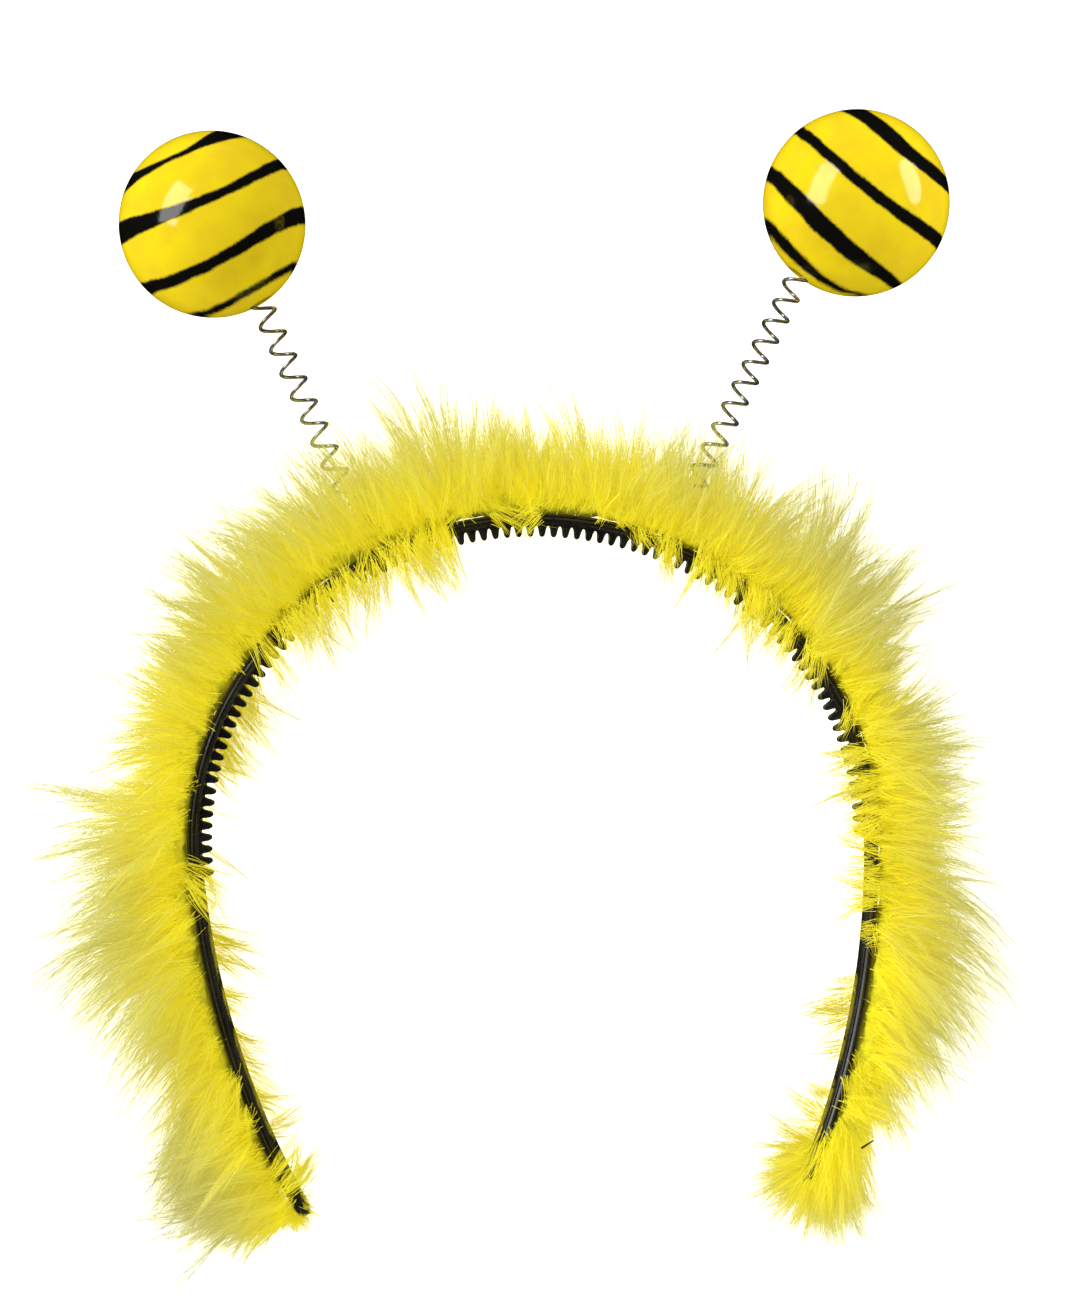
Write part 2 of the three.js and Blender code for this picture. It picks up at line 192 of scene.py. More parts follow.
# Plumes that hang off the arms' ends: place along the band in mm, turn from the way to the
# nearer tip towards the outside in degrees, rise towards +z in degrees and length in mm
END_PLUMES = (
    (-139, 52, 0, 31), (-142, 58, 15, 30), (-145, 66, -10, 29), (-148, 78, 10, 27),
    (-151, 85, 0, 27), (-154, 93, -12, 26), (-157, 96, 15, 26), (-160, 101, -5, 26),
    (-162, 104, 20, 25), (-163, 108, -15, 24), (-163.5, 110, 12, 20), (-164, 108, 0, 24),
    (-164, 80, -20, 8), (-164, 10, 0, 5), (-164, -35, 10, 7), (150, 14, 15, 24),
    (152, 16, -15, 24), (154, 8, 8, 24), (156, 12, 28, 22), (158, 0, -12, 22), (159, 26, 4, 20),
    (160, -14, -18, 20), (161, 14, -25, 19), (162, 36, 14, 16), (163, -30, -8, 18),
    (164, 4, 20, 17), (164, 28, -10, 16), (164, -52, -12, 15), (164, -70, -15, 13),
    (163, 54, -4, 12),
)

# Locks in a plume of fluff and in a tuft, and plumes of fluff along the whole trim
FLUFF_LOCKS = 6
TUFT_LOCKS = 5
FLUFF_PLUMES = 130

# Felted core: middle over the band's inner face, half height, half depth and setback in mm
CORE_SECTION = (5.6, 3.2, 5.2)
CORE_SETBACK = 4

# Brown end of a quill that shows near the right arm's tip, in mm
QUILL_ROOT = np.array((60.2, -91.4, 26.4))
QUILL_TIP = np.array((62.3, -89.9, 28.2))
QUILL_RADII = (0.24, 0.12)

# Length of the trim that each of its pieces covers, as shares of the half length
TRIM_PIECES = (
    ("trim_left_tip", -1.0, -0.66),
    ("trim_left_side", -0.66, -0.33),
    ("trim_left_crown", -0.33, 0.0),
    ("trim_right_crown", 0.0, 0.33),
    ("trim_right_side", 0.33, 0.66),
    ("trim_right_tip", 0.66, 1.0),
)
FIRST_SEED = 4100

# Soft lights: shape, way they come from, distance, size, power in watts and aim, in metres.
# The right one lights the right ball alone
SOFTBOXES = {
    "left_softbox": ("RECTANGLE", (-0.66, 0.38, 0.64), 1.1, (0.9, 0.5), 7.4, (0, 0.05, 0.0177)),
    "right_softbox": (
        "ELLIPSE", (0.89, 0.25, 0.37), 0.2, (0.16, 0.085), 0.18, (0.0714, 0.0866, 0.0177)
    ),
}
CAMERA_PLACE = (0.0055, 0.0058, 0.7177)
CAMERA_ROLL = -0.065


class HeadbandBandSettings(bpy.types.PropertyGroup):
    colour: FloatVectorProperty(
        name="Plastic", description="Colour of the moulded band", subtype="COLOR",
        default=(0.014, 0.0138, 0.0128), min=0, max=1
    )
    smooth_steps: IntProperty(
        name="Arc steps", description="Faces along the whole band", default=180, min=24, max=600
    )


class HeadbandSpringSettings(bpy.types.PropertyGroup):
    wire: FloatProperty(
        name="Wire", description="Diameter of the spring wire",
        subtype="DISTANCE", unit="LENGTH", default=0.76 * MM, min=0.0001
    )
    coil: FloatProperty(
        name="Coil", description="Outer diameter of the springs",
        subtype="DISTANCE", unit="LENGTH", default=4.8 * MM, min=0.001
    )
    colour: FloatVectorProperty(
        name="Steel", description="Colour of the bright wire", subtype="COLOR",
        default=(0.5, 0.51, 0.54), min=0, max=1
    )


class HeadbandBallSettings(bpy.types.PropertyGroup):
    diameter: FloatProperty(
        name="Diameter", description="Diameter of the balls",
        subtype="DISTANCE", unit="LENGTH", default=35.4 * MM, min=0.005
    )
    paint: FloatVectorProperty(
        name="Paint", description="Colour of the balls", subtype="COLOR",
        default=(0.86, 0.66, 0.008), min=0, max=1
    )
    stripe: FloatVectorProperty(
        name="Stripes", description="Colour of the painted stripes", subtype="COLOR",
        default=(0.004, 0.0038, 0.003), min=0, max=1
    )


class HeadbandTrimSettings(bpy.types.PropertyGroup):
    down: FloatVectorProperty(
        name="Down", description="Colour of the down next to the band", subtype="COLOR",
        default=(0.84, 0.755, 0.028), min=0, max=1
    )
    # The tips' darker, greyer colour is painted shade of the thin, see-through barbs
    tips: FloatVectorProperty(
        name="Tips", description="Colour of the tips of the down", subtype="COLOR",
        default=(0.63, 0.60, 0.18), min=0, max=1
    )
    strand: FloatProperty(
        name="Strand", description="Width of a strand of down at its root",
        subtype="DISTANCE", unit="LENGTH", default=0.12 * MM, min=0.00002
    )
    plumes: IntProperty(
        name="Plumes", description="Plumes along the whole trim", default=350, min=20, max=800
    )
    locks: IntProperty(
        name="Locks", description="Pointed locks of strands in a plume", default=16, min=2, max=40
    )
    strands: IntProperty(
        name="Strands", description="Strands in each lock", default=14, min=3, max=60
    )


class HeadbandSettings(bpy.types.PropertyGroup):
    band: PointerProperty(type=HeadbandBandSettings)
    springs: PointerProperty(type=HeadbandSpringSettings)
    balls: PointerProperty(type=HeadbandBallSettings)
    trim: PointerProperty(type=HeadbandTrimSettings)


def arch_at(station):
    """Point on the band's inner face, outward direction and direction to the right tip"""
    station = np.asarray(station, float)
    side = np.where(station < 0, -1.0, 1.0)
    left = np.abs(station)
    turn = np.zeros_like(left)
    x = np.zeros_like(left)
    y = np.zeros_like(left)
    for radius, span in ARCS:
        step = np.minimum(left / radius, span)
        x = x + radius * (np.sin(turn + step) - np.sin(turn))
        y = y + radius * (np.cos(turn + step) - np.cos(turn))
        turn = turn + step
        left = left - step * radius
    flat = np.zeros_like(x)
    point = np.stack((side * x, y, flat), -1) + ARCH_ORIGIN
    outward = np.stack((side * np.sin(turn), np.cos(turn), flat), -1)
    along = np.stack((np.cos(turn), -side * np.sin(turn), flat), -1)
    return point, outward, along


def antenna_axis(antenna):
    """Foot on the band's outer face, direction and outer side of an antenna"""
    side, lean = antenna["side"], antenna["lean"]
    point, outward, _ = arch_at(side * antenna["station"])
    direction = np.array((side * math.sin(lean), math.cos(lean), 0))
    outside = np.array((side * math.cos(lean), -math.sin(lean), 0))
    return point + BAND_THICKNESS * outward, direction, outside


def ball_centre(name, radius):
    """Middle of an antenna's ball, which lies a little to the outer side of the antenna's axis"""
    antenna = ANTENNAS[name]
    foot, direction, outside = antenna_axis(antenna)
    offset = antenna["offset"] * radius
    inset = math.sqrt(radius * radius - offset * offset)
    return foot + direction * (antenna["length"] + inset) + outside * offset


def mesh_from(name, bm):
    mesh = bpy.data.meshes.new(name)
    bm.to_mesh(mesh)
    bm.free()
    return mesh


def linked_object(name, data):
    thing = bpy.data.objects.new(name, data)
    bpy.context.scene.collection.objects.link(thing)
    return thing


def piece_from(name, bm, body, slot, material, *nodes):
    """Finished piece from a bmesh worked out in millimetres"""
    bmesh.ops.scale(bm, vec=(MM, MM, MM), verts=bm.verts)
    return finish_piece(name, mesh_from(name, bm), body, slot, material, *nodes)


def finish_piece(name, mesh, body, slot, material, *nodes):
    """Piece of a mesh in metres that rides on a body and takes the place of CAD nodes"""
    mesh.materials.append(material)
    piece = linked_object(name, mesh)
    if body:
        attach(piece, body)
    if nodes:
        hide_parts(*nodes)
    return piece


def closed_mesh(bm, distance=0.002):
    """Merge the doubles of a spun shape and turn its faces outwards"""
    bmesh.ops.remove_doubles(bm, verts=bm.verts, dist=distance)
    bmesh.ops.dissolve_degenerate(bm, edges=bm.edges, dist=distance / 2)
    bmesh.ops.recalc_face_normals(bm, faces=bm.faces)


def shade_smooth(bm, sharp_angle=math.radians(40)):
    for face in bm.faces:
        face.smooth = True
    for edge in bm.edges:
        edge.smooth = len(edge.link_faces) == 2 and edge.calc_face_angle(0) < sharp_angle


def ring_of(bm, points):
    """Closed ring of edges through points"""
    ring = [bm.verts.new(point) for point in points]
    return [bm.edges.new(pair) for pair in zip(ring, [*ring[1:], ring[0]])]


def add_rod(bm, start, end, segments, start_radius, end_radius):
    """Capped cone from one point to another"""
    way = end - start
    turn = Vector(UP).rotation_difference(Vector(way)).to_matrix()
    bmesh.ops.create_cone(
        bm, cap_ends=True, segments=segments, radius1=start_radius, radius2=end_radius,
        depth=np.linalg.norm(way), matrix=Matrix.Translation((start + end) / 2) @ turn.to_4x4()
    )


def bevel_rims(bm, sharp_angle, offset, segments):
    rims = [e for e in bm.edges if e.calc_face_angle(0) > sharp_angle]
    bmesh.ops.bevel(
        bm, geom=rims, offset=offset, offset_type="OFFSET", affect="EDGES",
        segments=segments, profile=0.5, material=-1
    )


def spun(bm, edges, **turn):
    """Spin edges and give the last ones"""
    last = bmesh.ops.spin(bm, geom=edges, **turn)["geom_last"]
    return [g for g in last if isinstance(g, bmesh.types.BMEdge)]


# Shader groups


def feed(tree, value, socket):
    """Link an output to a socket, or set the socket's own value"""
    if isinstance(value, bpy.types.NodeSocket):
        tree.links.new(value, socket)
    else:
        socket.default_value = value


def group_with(name, inputs, outputs):
    """Empty node group. An input without a value is a vector, and the others are numbers"""
    tree = bpy.data.node_groups.new(name, "ShaderNodeTree")
    for label, value in inputs.items():
        kind = "NodeSocketVector" if value is None else "NodeSocketFloat"
        socket = tree.interface.new_socket(label, in_out="INPUT", socket_type=kind)
        if value is not None:
            socket.default_value = value
    for label, kind in outputs.items():
        tree.interface.new_socket(label, in_out="OUTPUT", socket_type=f"NodeSocket{kind}")
    source = tree.nodes.new("NodeGroupInput")
    target = tree.nodes.new("NodeGroupOutput")
    return tree, source.outputs, target.inputs


def math_node(tree, operation, *values):
    node = tree.nodes.new("ShaderNodeMath")
    node.operation = operation
    for socket, value in zip(node.inputs, values):
        feed(tree, value, socket)
    return node.outputs[0]


def noise_node(tree, vector, scale, detail=2.0, roughness=0.5):
    node = tree.nodes.new("ShaderNodeTexNoise")
    node.inputs["Detail"].default_value = detail
    node.inputs["Roughness"].default_value = roughness
    feed(tree, scale, node.inputs["Scale"])
    tree.links.new(vector, node.inputs["Vector"])
    return node.outputs["Fac"]


def bump_normal(tree, height, distance):
    node = tree.nodes.new("ShaderNodeBump")
    feed(tree, distance, node.inputs["Distance"])
    tree.links.new(height, node.inputs["Height"])
    return node.outputs["Normal"]


def split_vector(tree, vector):
    node = tree.nodes.new("ShaderNodeSeparateXYZ")
    tree.links.new(vector, node.inputs[0])
    return node.outputs["X"], node.outputs["Y"]


def map_range(tree, value, low, high, new_low, new_high, smooth=False):
    node = tree.nodes.new("ShaderNodeMapRange")
    node.interpolation_type = "SMOOTHSTEP" if smooth else "LINEAR"
    labels = ("Value", "From Min", "From Max", "To Min", "To Max")
    for label, setting in zip(labels, (value, low, high, new_low, new_high)):
        feed(tree, setting, node.inputs[label])
    return node.outputs["Result"]


def mix_colours(tree, factor, first, second, blend="MIX"):
    node = tree.nodes.new("ShaderNodeMix")
    node.data_type = "RGBA"
    node.blend_type = blend
    for number, value in ((0, factor), (6, first), (7, second)):
        feed(tree, value, node.inputs[number])
    return node.outputs[2]


def surface_grain_group():
    """Fine unevenness of a surface: a value around 0.5 and a normal"""
    tree, given, out = group_with(
        "surface_grain",
        {"Vector": None, "Scale": 900.0, "Depth": 0.00002, "Broad Scale": 60.0},
        {"Value": "Float", "Normal": "Vector"},
    )
    fine = noise_node(tree, given["Vector"], given["Scale"], 3.0)
    broad = noise_node(tree, given["Vector"], given["Broad Scale"], 2.0)
    value = math_node(tree, "MULTIPLY_ADD", fine, 0.4, 0.0)
    value = math_node(tree, "MULTIPLY_ADD", broad, 0.6, value)
    tree.links.new(value, out["Value"])
    tree.links.new(bump_normal(tree, value, given["Depth"]), out["Normal"])
    return tree


def brushed_stripe_group():
    """Mask of one stripe that a brush has left on a ball, in ball radii"""
    tree, given, out = group_with(
        "brushed_stripe",
        {"Vector": None, **dict.fromkeys(STRIPE_SHAPE, 0.0), "Half Width": 0.06},
        {"Mask": "Float"},
    )
    along, across = split_vector(tree, given["Vector"])

    def polynomial(*labels):
        value = given[labels[-1]]
        for label in reversed(labels[:-1]):
            value = math_node(tree, "MULTIPLY_ADD", along, value, given[label])
        return value

    middle = polynomial("Height", "Slope", "Bend", "Twist")
    width = polynomial("Half Width", "Taper", "Flare")
    wander = noise_node(tree, given["Vector"], 4.0, 1.0)
    fray = noise_node(tree, given["Vector"], 26.0, 3.0, 0.6)
    middle = math_node(tree, "ADD", middle, map_range(tree, wander, 0.2, 0.8, -0.012, 0.012))
    distance = math_node(tree, "ABSOLUTE", math_node(tree, "SUBTRACT", across, middle))
    width = math_node(tree, "MAXIMUM", width, 0.014)
    width = math_node(tree, "ADD", width, map_range(tree, fray, 0.3, 0.7, -0.005, 0.005))
    inner, outer = (math_node(tree, "ADD", width, edge) for edge in (-0.018, 0.018))
    tree.links.new(map_range(tree, distance, inner, outer, 1.0, 0.0, smooth=True), out["Mask"])
    return tree


def new_material(name):
    material = bpy.data.materials.new(name)
    material.use_nodes = True
    tree = material.node_tree
    tree.nodes.clear()
    output = tree.nodes.new("ShaderNodeOutputMaterial")
    shader = tree.nodes.new("ShaderNodeBsdfPrincipled")
    tree.links.new(shader.outputs[0], output.inputs["Surface"])
    return material, tree, shader


def placed_group(tree, name, build, values):
    """Outputs of a shared node group, built once and placed with its own values"""
    node = tree.nodes.new("ShaderNodeGroup")
    node.node_tree = bpy.data.node_groups.get(name) or build()
    for label, value in values.items():
        feed(tree, value, node.inputs[label])
    return node.outputs


def object_coordinates(tree):
    return tree.nodes.new("ShaderNodeTexCoord").outputs["Object"]


def placed_grain(tree, scale, depth, broad_scale):
    values = {"Scale": scale, "Depth": depth, "Broad Scale": broad_scale}
    values["Vector"] = object_coordinates(tree)
    grain = placed_group(tree, "surface_grain", surface_grain_group, values)
    return grain["Value"], grain["Normal"]


def grained_material(name, colour, lightest, grain, roughness):
    """Material whose tone and roughness follow the grain of its surface"""
    material, tree, shader = new_material(name)
    value, normal = placed_grain(tree, *grain)
    dark = (*[c * 0.6 for c in colour], 1)
    light = (*[min(1, c * lightest) for c in colour], 1)
    shade = map_range(tree, value, 0.35, 0.65, 0.0, 1.0)
    tree.links.new(mix_colours(tree, shade, dark, light), shader.inputs["Base Color"])
    tree.links.new(map_range(tree, value, 0.3, 0.7, *roughness), shader.inputs["Roughness"])
    tree.links.new(normal, shader.inputs["Normal"])
    return material, shader


def black_plastic(colour):
    grain = (1400.0, 0.000012, 120.0)
    material, shader = grained_material("black_plastic", colour, 1.9, grain, (0.15, 0.27))
    shader.inputs["Specular IOR Level"].default_value = 0.6
    return material


def spring_steel(colour):
    grain = (3200.0, 0.000006, 500.0)
    material, shader = grained_material("spring_steel", colour, 1.4, grain, (0.14, 0.28))
    shader.inputs["Metallic"].default_value = 0.9
    return material


def striped_paint(name, paint, stripe, centre, radius):
    """Glossy paint with four brushed stripes around a ball"""
    material, tree, shader = new_material(f"{name}_ball_paint")
    local = tree.nodes.new("ShaderNodeMapping")
    local.vector_type = "TEXTURE"
    local.inputs["Location"].default_value = [c * MM for c in centre]
    local.inputs["Rotation"].default_value = (0, 0, STRIPES[name]["turn"])
    local.inputs["Scale"].default_value = [radius * MM] * 3
    tree.links.new(object_coordinates(tree), local.inputs["Vector"])
    across_ball = local.outputs["Vector"]

    mask = 0.0
    for row in STRIPES[name]["rows"]:
        values = {"Vector": across_ball, **dict(zip(STRIPE_SHAPE, row))}
        painted = placed_group(tree, "brushed_stripe", brushed_stripe_group, values)
        mask = math_node(tree, "MAXIMUM", mask, painted["Mask"])

    patchy = noise_node(tree, across_ball, 3.0, 3.0)
    shade = map_range(tree, patchy, 0.35, 0.65, 0.0, 1.0)
    thin = (paint[0] * 0.92, paint[1] * 0.86, paint[2] * 1.4, 1)
    ground = mix_colours(tree, shade, thin, (*paint, 1))
    coat = mix_colours(tree, mask, ground, (*stripe, 1))
    tree.links.new(coat, shader.inputs["Base Color"])

    value, _ = placed_grain(tree, 500.0, 0.00003, 90.0)
    thickness = math_node(tree, "MULTIPLY_ADD", mask, 0.6, value)
    tree.links.new(bump_normal(tree, thickness, 0.00006), shader.inputs["Normal"])
    rough = math_node(tree, "MULTIPLY_ADD", value, 0.08, 0.07)
    tree.links.new(rough, shader.inputs["Roughness"])
    shader.inputs["IOR"].default_value = 1.5
    shader.inputs["Specular IOR Level"].default_value = 0.5
    return material


def matt_painted_glow_material(name, glow):
    """Matt material with a painted glow: emission that stands in for the light that down passes on
    """
    material, tree, shader = new_material(name)
    shader.inputs["Emission Strength"].default_value = glow
    shader.inputs["Roughness"].default_value = 0.9
    shader.inputs["Specular IOR Level"].default_value = 0.0
    return material, tree, shader


def down_material(name, down, tips):
    """Dyed down with a painted glow, whose colour pales into the painted shade of its tips away
    from the band: the u of its map runs from the band to the outer tips, v is the strand's own
    """
    material, tree, shader = matt_painted_glow_material(name, 0.235)
    mapped = tree.nodes.new("ShaderNodeUVMap")
    mapped.uv_map = "strand"
    reach, own = split_vector(tree, mapped.outputs[0])
    shifted = math_node(tree, "ADD", reach, map_range(tree, own, 0.0, 1.0, 0.12, -0.12))
    # The down turns towards the tips' colour of painted shade with its way from the band
    painted_tip_shade = map_range(tree, shifted, 0.06, 0.7, 0.0, 1.0, smooth=True)
    # strays have an own value of 0, and are darker where they stand clear of the down
    stray = map_range(tree, own, 0.0, 0.28, 1.0, 0.0)
    clear = map_range(tree, reach, 0.5, 0.85, 0.0, 0.5)
    dark = math_node(tree, "MULTIPLY", stray, clear)
    tone = math_node(tree, "SUBTRACT", map_range(tree, own, 0.2, 1.0, 0.91, 1.06), dark)
    grey = tree.nodes.new("ShaderNodeCombineXYZ")
    for socket in grey.inputs:
        tree.links.new(tone, socket)
    # The same colours, with the tips at 0.95, feed the Emission Color of the painted glow
    for glow, label in ((1.0, "Base Color"), (0.95, "Emission Color")):
        painted_shade_tips = (*[c * glow for c in tips], 1)
        colour = mix_colours(tree, painted_tip_shade, (*down, 1), painted_shade_tips)
        colour = mix_colours(tree, 1.0, colour, grey.outputs[0], blend="MULTIPLY")
        tree.links.new(colour, shader.inputs[label])
    return material


def felted_down_painted_shade_glow(colour):
    """Matted down next to the band, with painted shade in its hollows and a painted glow"""
    material, tree, shader = matt_painted_glow_material("felted_down_painted_shade_glow", 0.15)
    lumps = noise_node(tree, object_coordinates(tree), 420.0, 4.0, 0.65)
    # Painted shade: the felt darkens to 0.72 of its colour in the hollows of the lumps, where the
    # bump dips
    dark = (*[c * 0.72 for c in colour], 1)
    shade = map_range(tree, lumps, 0.36, 0.62, 0.0, 1.0, smooth=True)
    felt_painted_shade = mix_colours(tree, shade, dark, (*colour, 1))
    tree.links.new(felt_painted_shade, shader.inputs["Base Color"])
    tree.links.new(felt_painted_shade, shader.inputs["Emission Color"])
    tree.links.new(bump_normal(tree, lumps, 0.0006), shader.inputs["Normal"])
    return material


def brown_quill():
    material, _, shader = new_material("brown_quill")
    shader.inputs["Base Color"].default_value = (0.05, 0.028, 0.008, 1)
    shader.inputs["Roughness"].default_value = 0.5
    return material


def pale_floor():
    material, _, shader = new_material("pale_floor")
    shader.inputs["Base Color"].default_value = (0.94, 0.94, 0.94, 1)
    shader.inputs["Roughness"].default_value = 0.9
    shader.inputs["Specular IOR Level"].default_value = 0.1
    shader.inputs["Emission Color"].default_value = (1, 1, 1, 1)
    shader.inputs["Emission Strength"].default_value = 0.75
    return material


# Band


def spun_through_arcs(bm, profile, first, last, steps):
    """Edges of a section spun from one station to another, arc by arc. Gives the last edges"""
    bounds = [first, -CROWN_ARC - SHOULDER_ARC, -CROWN_ARC]
    bounds += [-bounds[2], -bounds[1], last]
    for arc, start, stop in zip((2, 1, 0, 1, 2), bounds, bounds[1:]):
        radius = ARCS[arc][0]
        at, out, _ = arch_at((start + stop) / 2)
        profile = spun(
            bm, profile, cent=at - out * radius, axis=(0, 0, 1), angle=-(stop - start) / radius,
            steps=max(4, round(steps * (stop - start) / (last - first)))
        )
    return profile


def band_strip(steps):
    """Grooved strip spun through the five arcs, with a rounded nose at each arm's end"""
    bm = bmesh.new()
    end = HALF_LENGTH - NOSE_SETBACK
    point, outward, _ = arch_at(-end)
    lower = [(h, -z) for h, z in reversed(BAND_SECTION[1:-1])]
    edges = ring_of(bm, [point + outward * h + UP * z for h, z in (*BAND_SECTION, *lower)])

    def nose(half, station, angle):
        at, out, _ = arch_at(station)
        turned = bmesh.ops.duplicate(bm, geom=half)["geom"]
        turned = [g for g in turned if not isinstance(g, bmesh.types.BMFace)]
        bmesh.ops.spin(bm, geom=turned, cent=at, axis=out, angle=angle, steps=14)

    nose(edges[: len(BAND_SECTION) - 1], -end, -math.pi)
    profile = spun_through_arcs(bm, edges, -end, end, steps)
    upper = [e for e in profile if sum(v.co.z for v in e.verts) / 2 > ARCH_ORIGIN[2]]
    nose(upper, end, math.pi)
    closed_mesh(bm)
    shade_smooth(bm)
    return bm


def comb_tooth():
    bm = bmesh.new()
    left = [(-x, y) for x, y in reversed(TOOTH_OUTLINE[:-1])]
    verts = [bm.verts.new((x, y, -TOOTH_WIDTH / 2)) for x, y in (*TOOTH_OUTLINE, *left)]
    face = bm.faces.new(verts)
    risen = bmesh.ops.extrude_face_region(bm, geom=[face])["geom"]
    risen = [g for g in risen if isinstance(g, bmesh.types.BMVert)]
    bmesh.ops.translate(bm, vec=(0, 0, TOOTH_WIDTH), verts=risen)
    bevel_rims(bm, math.radians(80), 0.22, 2)
    bmesh.ops.recalc_face_normals(bm, faces=bm.faces)
    bm.verts.index_update()
    return bm


def comb_teeth():
    """Mesh of all teeth along the band, each a copy of one tooth"""
    stations = (np.arange(TOOTH_COUNT) - (TOOTH_COUNT - 1) / 2) * TOOTH_PITCH
    point, outward, along = arch_at(stations)
    turns = np.stack((along, outward, np.broadcast_to(UP, along.shape)), -1)
    tooth = comb_tooth()
    verts = np.array([v.co for v in tooth.verts])
    placed = np.einsum("fij,vj->fvi", turns, verts) + point[:, None]
    loops = [[v.index for v in f.verts] for f in tooth.faces]
    tooth.free()
    faces = [[k + i * len(verts) for k in loop] for i in range(TOOTH_COUNT) for loop in loops]
    mesh = bpy.data.meshes.new("band_teeth")
    mesh.from_pydata(placed.reshape(-1, 3) * MM, [], faces)
    mesh.shade_smooth()
    mesh.set_sharp_from_angle(angle=math.radians(50))
    return mesh


def spring_pegs(radius):
    """Slightly tapered peg for the foot of each spring"""
    bm = bmesh.new()
    for antenna in ANTENNAS.values():
        foot, direction, _ = antenna_axis(antenna)
        start = foot - direction * BAND_THICKNESS / 2
        add_rod(bm, start, foot + direction * PEG_LENGTH, 24, radius, radius * PEG_TAPER)
    bevel_rims(bm, math.radians(60), 0.25, 3)
    shade_smooth(bm)
    return bm


class BuildBand(bpy.types.Operator):
    """Make the grooved plastic strip, its comb teeth and the pegs for the springs"""

    bl_idname = "headband.build_band"
    bl_label = "Band"

    def execute(self, context):
        settings = context.scene.headband
        rest = ("band", "black_plastic", black_plastic(settings.band.colour), "headband")
        piece_from("band_strip", band_strip(settings.band.smooth_steps), *rest)
        finish_piece("band_teeth", comb_teeth(), *rest)
        springs = settings.springs
        pegs = spring_pegs((springs.coil / 2 - springs.wire) / MM - CLEARANCE)
        piece_from("spring_pegs", pegs, *rest)
        return {"FINISHED"}


# Springs


def spring_coil(antenna, wire, coil):
    """Round wire spun up the antenna's axis: a closed turn, then open turns into the ball"""
    foot, direction, outside = antenna_axis(antenna)
    start = wire / 2 + 2 * CLEARANCE
    closed_pitch = wire + CLEARANCE
    open_length = antenna["length"] + SOCKET_DEPTH - start - closed_pitch
    open_turns = open_length / antenna["pitch"]
    turns_to_entry = SOCKET_DEPTH / antenna["pitch"] - 1 - open_turns
    angle = antenna["entry"] + 2 * math.pi * turns_to_entry
    spoke = outside * math.cos(angle) - UP * antenna["side"] * math.sin(angle)
    bm = bmesh.new()
    slant = Matrix((Vector(spoke), Vector(direction), Vector(spoke).cross(Vector(direction))))
    place = Matrix.Translation(foot + direction * start + spoke * (coil - wire) / 2)
    section = bmesh.ops.create_circle(
        bm, segments=12, radius=wire / 2, matrix=place @ slant.transposed().to_4x4()
    )
    edges = list({e for v in section["verts"] for e in v.link_edges})
    bmesh.ops.contextual_create(bm, geom=edges)
    for turns, pitch in ((1, closed_pitch), (open_turns, antenna["pitch"])):
        steps = round(turns * STEPS_IN_TURN)
        rise = direction * (pitch * turns / steps)
        angle = 2 * math.pi * turns
        edges = spun(bm, edges, cent=foot, axis=direction, dvec=rise, angle=angle, steps=steps)
    bmesh.ops.contextual_create(bm, geom=edges)
    closed_mesh(bm, 0.0005)
    shade_smooth(bm, math.radians(60))
    return bm


class BuildSprings(bpy.types.Operator):
    """Make the two coil springs between the band and the balls"""

    bl_idname = "headband.build_springs"
    bl_label = "Springs"

    def execute(self, context):
        settings = context.scene.headband.springs
        steel = spring_steel(settings.colour)
        for name, antenna in ANTENNAS.items():
            bm = spring_coil(antenna, settings.wire / MM, settings.coil / MM)
            piece = piece_from(f"{name}_coil", bm, None, "spring_steel", steel, f"{name}_spring")
            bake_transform(piece)
        return {"FINISHED"}


# Balls


def striped_ball(name, radius, bore_radius):
    """Smooth ball with a socket bored for the end of its spring"""
    antenna = ANTENNAS[name]
    foot, direction, _ = antenna_axis(antenna)
    centre = Matrix.Translation(ball_centre(name, radius))
    bm = bmesh.new()
    bmesh.ops.create_uvsphere(bm, u_segments=112, v_segments=64, radius=radius, matrix=centre)
    whole = linked_object("ball_form", mesh_from(f"{name}_ball_form", bm))

    start = foot + direction * (antenna["length"] - radius / 2)
    stop = foot + direction * (antenna["length"] + SOCKET_END)
    bm = bmesh.new()
    add_rod(bm, start, stop, 32, bore_radius, bore_radius)
    cutter = linked_object("socket_bore", mesh_from(f"{name}_bore", bm))

    cut = whole.modifiers.new("socket", "BOOLEAN")
    cut.operation = "DIFFERENCE"
    cut.solver = "EXACT"
    cut.object = cutter
    bpy.context.view_layer.update()
    shaped = whole.evaluated_get(bpy.context.evaluated_depsgraph_get()).to_mesh()
    bm = bmesh.new()
    bm.from_mesh(shaped)
    for obj in (whole, cutter):
        bpy.data.objects.remove(obj)
    shade_smooth(bm)
    return bm


class BuildBalls(bpy.types.Operator):
    """Make the two striped balls with their sockets"""

    bl_idname = "headband.build_balls"
    bl_label = "Balls"

    def execute(self, context):
        settings = context.scene.headband
        radius = settings.balls.diameter / MM / 2
        bore_radius = settings.springs.coil / MM / 2 + CLEARANCE
        for name in ANTENNAS:
            colours = (settings.balls.paint, settings.balls.stripe)
            paint = striped_paint(name, *colours, ball_centre(name, radius), radius)
            bm = striped_ball(name, radius, bore_radius)
            body = f"{name}_ball"
            ball = piece_from(f"{name}_striped_ball", bm, body, "yellow_paint", paint, body)
            lit = bpy.data.collections.get(f"lit_by_{name}_softbox")
            if lit:
                lit.objects.link(ball)
        return {"FINISHED"}


# Feather trim


def unit(vectors):
    return vectors / np.maximum(np.linalg.norm(vectors, axis=-1, keepdims=True), 1e-9)


def reach_and_sweep(share):
    places = np.round(np.linspace(-1, 1, len(TRIM_REACH)), 2)
    reach = np.interp(share, places, TRIM_REACH)
    sweep = np.radians(np.interp(share, places, TRIM_SWEEP))
    return reach, sweep


